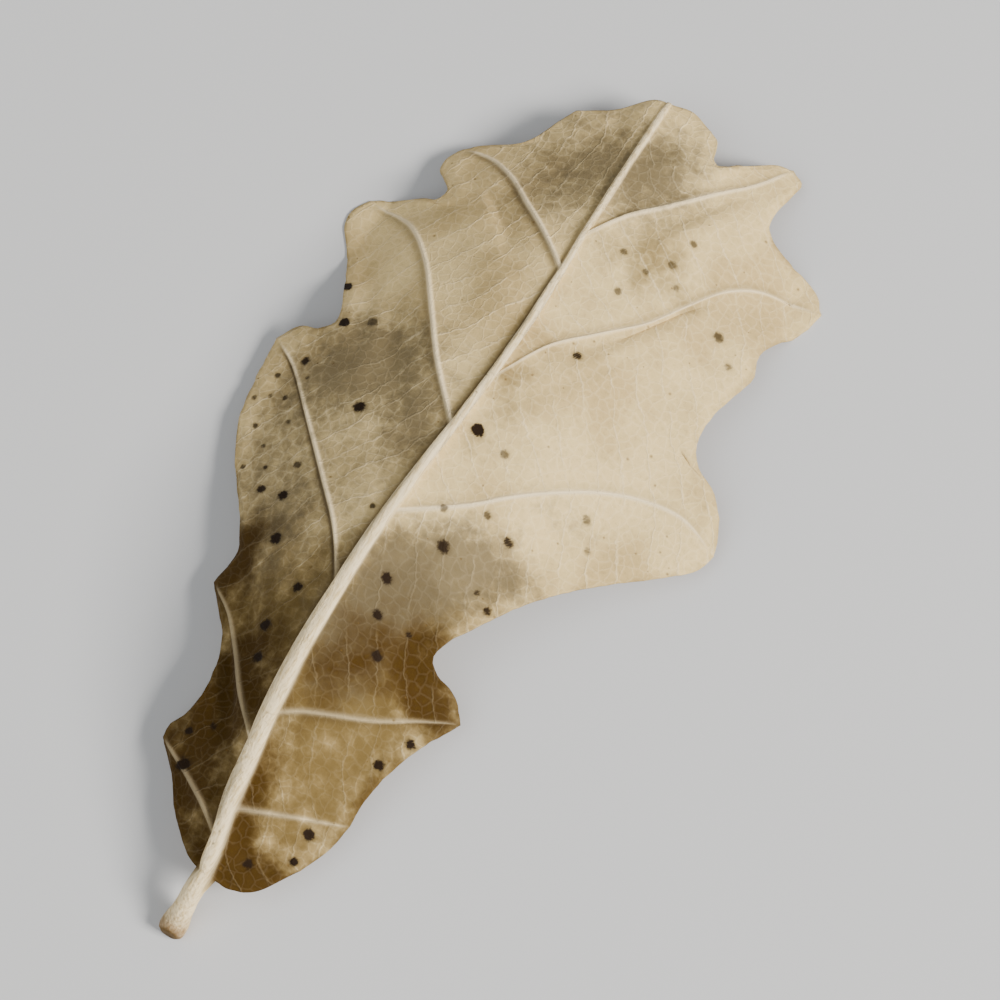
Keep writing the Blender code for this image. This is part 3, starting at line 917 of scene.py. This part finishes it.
class Graph:
    """Adds nodes to one node tree and joins them."""

    def __init__(self, tree: bpy.types.NodeTree) -> None:
        """Works on a tree.

        Args:
            tree: The node tree of a material or of a group.
        """
        self.tree = tree

    def add(self, kind: str, inputs: dict[str | int, object] | None = None,
            **settings: object) -> bpy.types.Node:
        """Adds a node.

        Args:
            kind: The node's type.
            inputs: For each named or numbered input, a socket to join or a value.
            settings: The node's own properties.

        Returns:
            The node.
        """
        node = self.tree.nodes.new(kind)
        for name, value in settings.items():
            setattr(node, name, value)
        self.feed(node, inputs or {})
        return node

    def feed(self, node: bpy.types.Node, inputs: dict[str | int, object]) -> None:
        """Joins sockets to a node's inputs, or sets their values.

        Args:
            node: The node.
            inputs: For each named or numbered input, a socket to join or a value.
        """
        for name, value in inputs.items():
            if isinstance(value, bpy.types.NodeSocket):
                self.tree.links.new(value, node.inputs[name])
            else:
                node.inputs[name].default_value = value

    def attribute(self, name: str) -> tuple[Socket, Socket, Socket]:
        """The three numbers that the mesh holds under a name."""
        read = self.add("ShaderNodeAttribute", attribute_name=name).outputs["Vector"]
        return tuple(self.add("ShaderNodeSeparateXYZ", {0: read}).outputs)

    def math(self, operation: str, first: object, second: object = 0.0) -> Socket:
        """A sum, product or other step on two numbers."""
        node = self.add("ShaderNodeMath", {0: first, 1: second}, operation=operation)
        return node.outputs[0]

    def times(self, *factors: object) -> Socket:
        """The product of some numbers."""
        return reduce(lambda done, factor: self.math("MULTIPLY", done, factor), factors)

    def total(self, *shares: tuple[object, object]) -> Socket:
        """The sum of some numbers, each times its share."""
        parts = [self.times(value, share) for value, share in shares]
        return reduce(lambda done, part: self.math("ADD", done, part), parts)

    def swing(self, noise_value: Socket, reach: float) -> Socket:
        """Noise from 0 to 1 turned into a swing about 0."""
        return self.times(self.math("SUBTRACT", noise_value, 0.5), reach)

    def peak(self, away: Socket, reach: object) -> Socket:
        """1 where a distance is 0, and falling evenly to 0 at a reach."""
        fall = self.math("SUBTRACT", 1.0, self.math("DIVIDE", away, reach))
        return self.math("MAXIMUM", fall, 0.0)

    def band(self, value: Socket, low: float, high: float, start: float = 0.0,
             end: float = 1.0) -> Socket:
        """A smooth change.

        Args:
            value: The value that it follows.
            low: Where the change begins.
            high: Where it is done.
            start: The result up to low.
            end: The result from high on.

        Returns:
            The result.
        """
        node = self.add("ShaderNodeMapRange",
                        {"Value": value, "From Min": low, "From Max": high,
                         "To Min": start, "To Max": end},
                        interpolation_type="SMOOTHSTEP")
        return node.outputs["Result"]

    def mix(self, factor: object, first: object, second: object) -> Socket:
        """Two colours mixed.

        Args:
            factor: How much of the second one shows.
            first: The first colour, or its socket.
            second: The second colour, or its socket.

        Returns:
            The mixed colour.
        """
        pair = [value if isinstance(value, bpy.types.NodeSocket) else tuple(value) + (1.0,)
                for value in (first, second)]
        node = self.add("ShaderNodeMix", {0: factor, 6: pair[0], 7: pair[1]}, data_type="RGBA")
        return node.outputs[2]

    def coats(self, tone: object, *coats: tuple[object, object]) -> Socket:
        """A colour with others laid over it, each given after how much of it shows."""
        return reduce(lambda done, coat: self.mix(coat[0], done, coat[1]), coats, tone)

    def noise(self, coordinates: Socket, scale: float, detail: float = 3.0,
              roughness: float = 0.55) -> Socket:
        """Smooth noise.

        Args:
            coordinates: Where it is read.
            scale: How many bumps it has to a millimetre.
            detail: How many finer layers it has.
            roughness: How strong the finer layers are.

        Returns:
            A number from 0 to 1.
        """
        node = self.add("ShaderNodeTexNoise",
                        {"Vector": coordinates, "Scale": scale, "Detail": detail,
                         "Roughness": roughness})
        return node.outputs["Fac"]

    def millimetres(self) -> Socket:
        """Scales object coordinates from metres.

        Returns:
            The coordinates in millimetres.
        """
        place = self.add("ShaderNodeTexCoord").outputs["Object"]
        node = self.add("ShaderNodeVectorMath", {0: place, "Scale": 1000.0}, operation="SCALE")
        return node.outputs[0]


class Group:
    """A shader effect that several materials share."""

    name = ""
    inputs: tuple[tuple[str, str], ...] = ()
    outputs: tuple[tuple[str, str], ...] = ()

    def fill(self, graph: Graph, given: bpy.types.NodeOutputs) -> dict[str, Socket]:
        """Adds the effect's own nodes.

        Args:
            graph: The nodes of the group.
            given: The sockets that its inputs arrive on.

        Returns:
            For each of its outputs, the socket that feeds it.
        """
        raise NotImplementedError

    def tree(self) -> bpy.types.NodeTree:
        """Makes the group once.

        Returns:
            Its node tree, new or made before.
        """
        made = bpy.data.node_groups.get(self.name)
        if made:
            return made
        made = bpy.data.node_groups.new(self.name, "ShaderNodeTree")
        for way, sockets in (("INPUT", self.inputs), ("OUTPUT", self.outputs)):
            for name, kind in sockets:
                made.interface.new_socket(name, in_out=way, socket_type=f"NodeSocket{kind}")
        graph = Graph(made)
        given = graph.add("NodeGroupInput").outputs
        graph.add("NodeGroupOutput", self.fill(graph, given))
        return made

    def place(self, graph: Graph, **inputs: object) -> bpy.types.NodeOutputs:
        """Places the group in a material.

        Args:
            graph: The material's nodes.
            inputs: A socket or a number for each input, its spaces written as underscores.

        Returns:
            The group's outputs.
        """
        named = {name.replace("_", " "): value for name, value in inputs.items()}
        node = graph.tree.nodes.new("ShaderNodeGroup")
        node.node_tree = self.tree()
        graph.feed(node, named)
        return node.outputs


class VeinNet(Group):
    """The fine net of veins between the ribs: its lines, and the small fields they enclose."""

    name = "vein_net"
    inputs = (("Place", "Vector"), ("Mesh Size", "Float"), ("Line Width", "Float"))
    outputs = (("Lines", "Float"), ("Fields", "Float"))

    def fill(self, graph: Graph, given: bpy.types.NodeOutputs) -> dict[str, Socket]:
        """Adds the net: cells pushed about a little, with lines where two of them meet.

        Args:
            graph: The nodes of the group.
            given: The sockets that its inputs arrive on.

        Returns:
            The net's lines and its fields.
        """
        wander = graph.add("ShaderNodeTexNoise", {"Vector": given["Place"], "Scale": 0.9,
                                                  "Detail": 2.0}).outputs["Color"]
        push = graph.add("ShaderNodeVectorMath", {0: wander, "Scale": 0.7}, operation="SCALE")
        moved = graph.add("ShaderNodeVectorMath", {0: given["Place"], 1: push.outputs[0]},
                          operation="ADD")
        size = graph.math("DIVIDE", 1.0, given["Mesh Size"])
        cells = graph.add("ShaderNodeTexVoronoi",
                          {"Vector": moved.outputs[0], "Scale": size, "Randomness": 0.85},
                          feature="DISTANCE_TO_EDGE", voronoi_dimensions="2D")
        away = graph.times(cells.outputs["Distance"], given["Mesh Size"])
        return {"Lines": graph.peak(away, given["Line Width"]),
                "Fields": graph.band(cells.outputs["Distance"], 0.0, 0.35)}


class CrossVeins(Group):
    """The thin veins that run across from one side vein to the next."""

    name = "cross_veins"
    inputs = (("Count", "Float"), ("Place", "Vector"), ("Half Width", "Float"))
    outputs = (("Lines", "Float"),)

    def fill(self, graph: Graph, given: bpy.types.NodeOutputs) -> dict[str, Socket]:
        """Adds a slightly crooked line wherever the count is a whole number.

        Args:
            graph: The nodes of the group.
            given: The sockets that its inputs arrive on.

        Returns:
            The lines.
        """
        crook = graph.swing(graph.noise(given["Place"], 1.3, 2.0), 0.26)
        away = graph.math("PINGPONG", graph.math("ADD", given["Count"], crook), 0.5)
        strength = graph.band(graph.noise(given["Place"], 0.35, 2.0), 0.34, 0.52, 0.25, 1.0)
        return {"Lines": graph.times(graph.peak(away, given["Half Width"]), strength)}


class FineSpecks(Group):
    """Small scattered dots."""

    name = "fine_specks"
    inputs = (("Place", "Vector"), ("Spacing", "Float"), ("Amount", "Float"))
    outputs = (("Dots", "Float"),)

    def fill(self, graph: Graph, given: bpy.types.NodeOutputs) -> dict[str, Socket]:
        """Adds a dot in the middle of some cells, each of its own size.

        Args:
            graph: The nodes of the group.
            given: The sockets that its inputs arrive on.

        Returns:
            The dots.
        """
        size = graph.math("DIVIDE", 1.0, given["Spacing"])
        cells = graph.add("ShaderNodeTexVoronoi",
                          {"Vector": given["Place"], "Scale": size, "Randomness": 1.0},
                          voronoi_dimensions="2D")
        pick = graph.add("ShaderNodeSeparateColor", {0: cells.outputs["Color"]}).outputs
        chosen = graph.math("LESS_THAN", pick[0], given["Amount"])
        reach = graph.math("ADD", graph.times(pick[1], 0.09), 0.05)
        dots = graph.peak(cells.outputs["Distance"], reach)
        return {"Dots": graph.times(dots, chosen)}


class Fibres(Group):
    """Fine streaks along the midrib and the stalk."""

    name = "fibres"
    inputs = (("Place", "Vector"),)
    outputs = (("Streaks", "Float"),)

    def fill(self, graph: Graph, given: bpy.types.NodeOutputs) -> dict[str, Socket]:
        """Adds noise that is drawn out along the leaf.

        Args:
            graph: The nodes of the group.
            given: The sockets that its inputs arrive on.

        Returns:
            The streaks.
        """
        drawn = graph.add("ShaderNodeMapping", {"Vector": given["Place"],
                                                "Scale": (5.5, 0.45, 5.5)}).outputs[0]
        return {"Streaks": graph.noise(drawn, 1.0, 3.0, 0.6)}


class Finish:
    """What both finishes of the leaf share: one shader, a fine relief and the finer veins."""

    name: str
    relief: float
    relief_strength: float = 0.9
    net_size: float
    net_line: float
    cross_vein: float

    def fine_veins(self, graph: Graph, place: Socket,
                   count: Socket) -> tuple[bpy.types.NodeOutputs, Socket]:
        """Adds the net and the cross veins.

        Args:
            graph: The material's nodes.
            place: Object coordinates in millimetres.
            count: The count of the cross veins.

        Returns:
            The outputs of the net, and the lines of the cross veins.
        """
        net = VeinNet().place(graph, Place=place, Mesh_Size=self.net_size,
                              Line_Width=self.net_line)
        lines = CrossVeins().place(graph, Count=count, Place=place,
                                   Half_Width=self.cross_vein)["Lines"]
        return net, lines

    def surface(self, graph: Graph) -> tuple[Socket, Socket, dict[str, object]]:
        """Adds the finish's own nodes.

        Args:
            graph: The material's nodes.

        Returns:
            The colour, the height of the relief and the shader's other inputs.
        """
        raise NotImplementedError

    def material(self) -> bpy.types.Material:
        """Makes the material.

        Returns:
            The material.
        """
        made = bpy.data.materials.new(self.name)
        made.use_nodes = True
        made.node_tree.nodes.clear()
        graph = Graph(made.node_tree)
        tone, lift, others = self.surface(graph)
        bump = graph.add("ShaderNodeBump", {"Strength": self.relief_strength,
                                            "Distance": self.relief * MM, "Height": lift})
        shader = graph.add("ShaderNodeBsdfPrincipled",
                           {"Base Color": tone, "Normal": bump.outputs[0], **others})
        graph.add("ShaderNodeOutputMaterial", {"Surface": shader.outputs[0]})
        return made


@dataclass(frozen=True)
class UndersideFinish(Finish):
    """The pale, finely downy underside of the dried leaf, with its stalk and edge."""

    name: str = "leaf_underside"
    relief: float = 0.12
    net_size: float = 0.80
    net_line: float = 0.10
    cross_vein: float = 0.045
    dot_spacing: float = 1.3
    cream: Colour = (0.800, 0.595, 0.270)
    beige: Colour = (0.600, 0.430, 0.185)
    grey: Colour = (0.120, 0.092, 0.050)
    ochre: Colour = (0.045, 0.020, 0.000)
    khaki: Colour = (0.110, 0.068, 0.016)
    straw: Colour = (0.930, 0.750, 0.450)
    # The colour of the painted shade beside the veins and the midrib.
    painted_vein_shade: Colour = (0.050, 0.030, 0.010)
    spot: Colour = (0.016, 0.008, 0.003)
    brown: Colour = (0.130, 0.072, 0.016)
    russet: Colour = (0.180, 0.088, 0.034)

    def surface(self, graph: Graph) -> tuple[Socket, Socket, dict[str, object]]:
        """Adds the tissue and its tones, the painted shade, the net, veins, stalk, edge and
        spots.

        Args:
            graph: The material's nodes.

        Returns:
            The colour, the height of the relief and the shader's other inputs.
        """
        place = graph.millimetres()
        vein, midrib, count = graph.attribute("ribs")
        painted_vein_shade, stalk, edge = graph.attribute("form")
        ochre, grey, khaki = graph.attribute("age")
        middle = graph.noise(place, 0.50, 4.0, 0.6)
        small = graph.noise(place, 0.85, 4.0, 0.65)
        fine = graph.noise(place, 2.8, 4.0, 0.65)
        down = graph.noise(place, 8.0, 3.0, 0.7)
        net, cross = self.fine_veins(graph, place, count)
        streaks = Fibres().place(graph, Place=place)["Streaks"]
        busy = graph.band(graph.noise(place, 0.10, 1.0), 0.40, 0.60, 0.02, 0.17)
        dots = FineSpecks().place(graph, Place=place, Spacing=self.dot_spacing,
                                  Amount=busy)["Dots"]
        spots = self.spots(graph, fine)

        tissue = graph.coats(
            self.cream,
            (graph.band(graph.noise(place, 0.12, 3.0), 0.42, 0.66), self.beige),
            # The grey and khaki coats carry painted shade as well as the leaf's own tones.
            (self.aged_and_shaded(graph, khaki, middle, 0.92), self.khaki),
            (self.aged_and_shaded(graph, grey, small, 0.85), self.grey),
            (self.aged_and_shaded(graph, ochre, middle, 0.97), self.ochre),
            (graph.band(fine, 0.46, 0.78, 0.0, 0.22), self.khaki),
            (graph.times(net["Fields"], 0.06), self.khaki))
        pale = graph.band(graph.add("ShaderNodeRGBToBW", {0: tissue}).outputs[0], 0.03, 0.45)
        thin = graph.total((net["Lines"], 0.18), (cross, 0.42))
        rusty = graph.math("ADD", stalk, graph.swing(fine, 0.7))
        stem = graph.coats(
            self.straw,
            (graph.band(streaks, 0.42, 0.68, 0.0, 0.75), self.beige),
            (graph.band(rusty, 0.35, 1.05, 0.0, 0.80), self.russet),
            (graph.band(stalk, 0.95, 1.0, 0.0, 0.85), self.brown))
        rim = graph.times(graph.band(edge, 0.0, 0.8, 1.0, 0.0), graph.band(middle, 0.40, 0.66))
        tone = graph.coats(
            tissue,
            (graph.times(thin, graph.band(pale, 0.0, 1.0, 0.14, 1.0)), self.straw),
            # Painted shade: dark lines beside the side veins and left of the midrib.
            (graph.times(painted_vein_shade, 0.95), self.painted_vein_shade),
            (graph.times(vein, graph.band(pale, 0.0, 1.0, 0.30, 1.0)), self.straw),
            (midrib, stem),
            (graph.times(rim, 0.35), self.brown),
            (graph.times(dots, 0.80), self.brown),
            (spots, self.spot))
        lift = graph.total((net["Lines"], 0.16), (cross, 0.34), (down, 0.26), (middle, 0.50),
                           (spots, -0.40), (dots, -0.25), (graph.times(streaks, midrib), 0.9))
        return tone, lift, {"Roughness": graph.band(fine, 0.3, 0.7, 0.70, 0.88),
                            "Sheen Weight": 0.04, "Sheen Roughness": 0.45,
                            "Specular IOR Level": 0.10}

    def aged_and_shaded(self, graph: Graph, amount: Socket, uneven: Socket, most: float) -> Socket:
        """Where one tone shows in uneven patches; the grey and khaki tones are partly painted
        shade.

        Args:
            graph: The material's nodes.
            amount: How strong the tone is there.
            uneven: Noise that breaks the patches up.
            most: The largest share of the new colour.

        Returns:
            The share of the new colour.
        """
        shown = graph.math("ADD", amount, graph.swing(uneven, 1.1))
        return graph.times(graph.band(shown, 0.12, 1.0, 0.0, most),
                           graph.band(amount, 0.02, 0.30))

    def spots(self, graph: Graph, fine: Socket) -> Socket:
        """The larger dark spots, each with a faint ring about it.

        Args:
            graph: The material's nodes.
            fine: Noise that makes their edges uneven.

        Returns:
            1 in the darkest spots and 0 off them.
        """
        across, along, depth = graph.attribute("speck")
        square = graph.total((across, across), (along, along))
        away = graph.math("ADD", graph.math("SQRT", square), graph.swing(fine, 1.6))
        ring = graph.band(away, 1.0, 2.0, 0.26, 0.0)
        spot = graph.math("MAXIMUM", graph.band(away, 0.65, 1.45, 1.0, 0.0), ring)
        return graph.math("MINIMUM", graph.times(spot, depth, 1.2), 1.0)


@dataclass(frozen=True)
class UpperSideFinish(Finish):
    """The smoother tan upper side of the dried leaf, which faces the floor."""

    name: str = "leaf_upper_side"
    relief: float = 0.10
    net_size: float = 0.80
    net_line: float = 0.12
    cross_vein: float = 0.05
    dot_spacing: float = 1.9
    dot_share: float = 0.09
    tan: Colour = (0.470, 0.278, 0.098)
    russet: Colour = (0.250, 0.130, 0.040)
    pale: Colour = (0.640, 0.450, 0.220)
    spot: Colour = (0.060, 0.032, 0.015)

    def surface(self, graph: Graph) -> tuple[Socket, Socket, dict[str, object]]:
        """Adds the tan tissue, its dark net, the pale veins, the edge and small dots.

        Args:
            graph: The material's nodes.

        Returns:
            The colour, the height of the relief and the shader's other inputs.
        """
        place = graph.millimetres()
        vein, midrib, count = graph.attribute("ribs")
        ochre = graph.attribute("age")[0]
        edge = graph.attribute("form")[2]
        middle = graph.noise(place, 0.45, 4.0, 0.6)
        fine = graph.noise(place, 2.4, 4.0, 0.6)
        net, cross = self.fine_veins(graph, place, count)
        dots = FineSpecks().place(graph, Place=place, Spacing=self.dot_spacing,
                                  Amount=self.dot_share)["Dots"]
        tone = graph.coats(
            self.tan,
            (graph.band(graph.noise(place, 0.16, 3.0), 0.40, 0.66), self.russet),
            (graph.band(middle, 0.45, 0.75, 0.0, 0.45), self.russet),
            (graph.times(ochre, 0.40), self.russet),
            (graph.times(net["Lines"], 0.30), self.russet),
            (graph.times(cross, 0.45), self.pale),
            (graph.times(graph.math("MAXIMUM", vein, midrib), 0.85), self.pale),
            (graph.band(edge, 0.0, 0.9, 0.45, 0.0), self.russet),
            (graph.times(dots, 0.8), self.spot))
        lift = graph.total((fine, 0.5), (middle, 0.5), (net["Lines"], -0.40), (cross, -0.45))
        return tone, lift, {"Roughness": graph.band(fine, 0.3, 0.7, 0.46, 0.62),
                            "Specular IOR Level": 0.40}


@dataclass(frozen=True)
class Lamp:
    """A soft square light: how far round from the camera and how high, its side and light."""

    name: str
    turn: float
    height: float
    side: float
    power: float
    colour: Colour


@dataclass(frozen=True)
class Studio:
    """The pale floor, the lamps and the camera."""

    azimuth: float = 30.0
    elevation: float = 70.0
    lens: float = 120.0
    sensor: float = 36.0
    nearest: float = 0.01
    aim: Point = (3.7, 1.5, 5.0)
    frame_height: float = 75.0
    floor_size: float = 1.6
    floor_colour: Colour = (0.60, 0.60, 0.60)
    floor_roughness: float = 0.9
    floor_gloss: float = 0.2
    lamps: tuple[Lamp, ...] = (
        Lamp("key", 66.0, 36.0, 0.30, 12.0, (1.0, 0.975, 0.94)),
        Lamp("fill", -60.0, 55.0, 0.9, 4.4, (0.93, 0.97, 1.0)),
    )
    lamp_distance: float = 0.8
    surroundings: float = 0.22

    def place_floor(self) -> None:
        """Lays the floor under the leaf."""
        finish = bpy.data.materials.new("floor_matte")
        finish.use_nodes = True
        shader = finish.node_tree.nodes["Principled BSDF"]
        shader.inputs["Base Color"].default_value = self.floor_colour + (1.0,)
        shader.inputs["Roughness"].default_value = self.floor_roughness
        shader.inputs["Specular IOR Level"].default_value = self.floor_gloss
        mesh = bmesh.new()
        bmesh.ops.create_grid(mesh, x_segments=1, y_segments=1, size=self.floor_size / 2)
        make_piece("floor", mesh, (finish,))

    def way(self, azimuth: float, elevation: float) -> Vector:
        """The direction from the leaf to a point round it, in degrees."""
        a, e = math.radians(azimuth), math.radians(elevation)
        return Vector((math.sin(a) * math.cos(e), -math.cos(a) * math.cos(e), math.sin(e)))

    def place_lamps(self) -> None:
        """Sets up the lamps, which face the leaf, and the pale surroundings."""
        for lamp in self.lamps:
            data = bpy.data.lights.new(lamp.name, "AREA")
            data.shape = "SQUARE"
            data.size = lamp.side
            data.energy = lamp.power
            data.color = lamp.colour
            light = put_in_scene(lamp.name, data)
            way = self.way(self.azimuth + lamp.turn, lamp.height)
            light.location = way * self.lamp_distance
            light.rotation_euler = way.to_track_quat("Z", "Y").to_euler()
        world = bpy.data.worlds.new("surroundings")
        world.use_nodes = True
        background = world.node_tree.nodes["Background"]
        background.inputs["Color"].default_value = (1.0, 1.0, 1.0, 1.0)
        background.inputs["Strength"].default_value = self.surroundings
        bpy.context.scene.world = world

    def place_camera(self) -> None:
        """Sets the camera at the photograph's viewing angle, with the leaf filling the view."""
        data = bpy.data.cameras.new("camera")
        data.lens = self.lens
        data.sensor_width = self.sensor
        data.clip_start = self.nearest
        camera = put_in_scene("camera", data)
        way = self.way(self.azimuth, self.elevation)
        distance = self.frame_height * MM * self.lens / self.sensor
        camera.location = Vector(self.aim) * MM + way * distance
        camera.rotation_euler = way.to_track_quat("Z", "Y").to_euler()
        bpy.context.scene.camera = camera


def main() -> None:
    """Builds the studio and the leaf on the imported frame."""
    logging.basicConfig(level=logging.INFO, format="%(name)s %(message)s")
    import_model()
    studio = Studio()
    studio.place_floor()
    studio.place_lamps()
    studio.place_camera()
    LOG.info("studio: floor, %d lamps and camera", len(studio.lamps))
    finishes = (UndersideFinish().material(), UpperSideFinish().material())
    leaf = Leaf().build(finishes, AgeingAndShade())
    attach(leaf, "root")
    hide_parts("oak_leaf")


if __name__ == "__main__":
    main()
